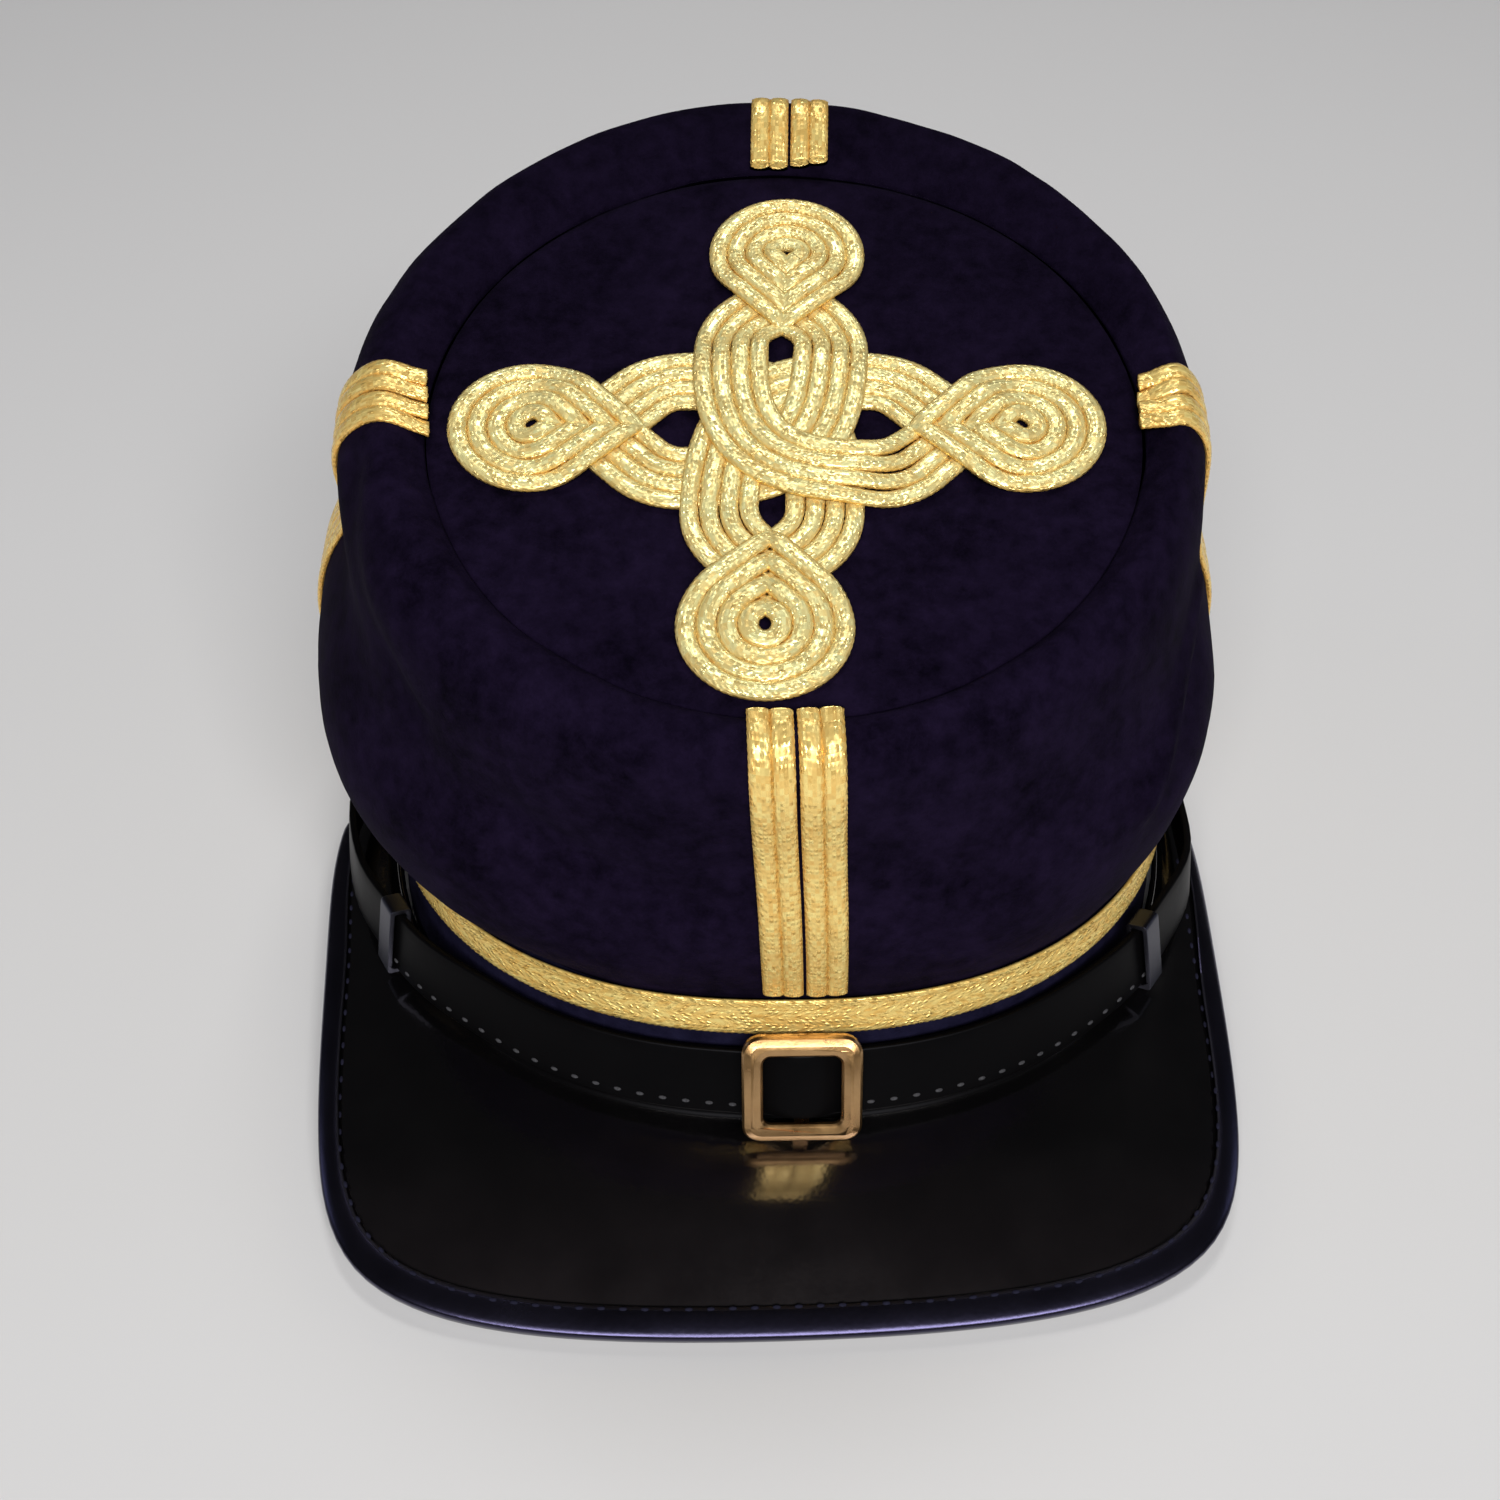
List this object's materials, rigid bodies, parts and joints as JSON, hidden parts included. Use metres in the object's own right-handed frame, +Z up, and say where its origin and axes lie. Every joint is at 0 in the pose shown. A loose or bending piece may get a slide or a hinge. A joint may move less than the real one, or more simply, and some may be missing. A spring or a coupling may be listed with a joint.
{
  "type": "kepi",
  "caption": "Soft felt kepi with a tilted round top, woven gold braid stripes and knot, a glossy leather peak and a buckled chin strap.",
  "frame": {"origin": "on the floor below the middle of the kepi's box", "axes": "+Z up, -Y to the front where the peak points, +X to the right as seen from the front"},
  "size_m": [0.2085, 0.2442, 0.1591],
  "materials": {
    "navy_felt": "matt wool felt with a soft nap",
    "gold_braid": "woven gilt metal thread",
    "black_leather": "glossy black",
    "brass": "polished, a little dull"
  },
  "bodies": {
    "root": {"crown_side": "navy_felt", "crown_tip": "navy_felt", "cap_band": "navy_felt", "crown_knot": "gold_braid", "front_braid": "gold_braid", "right_braid": "gold_braid", "back_braid": "gold_braid", "left_braid": "gold_braid", "band_braid": "gold_braid", "peak": "black_leather", "peak_binding": "black_leather", "chin_strap": "black_leather", "left_keeper": "black_leather", "right_keeper": "black_leather", "strap_buckle": "brass", "left_button": "brass", "right_button": "brass"}
  },
  "joints": []
}
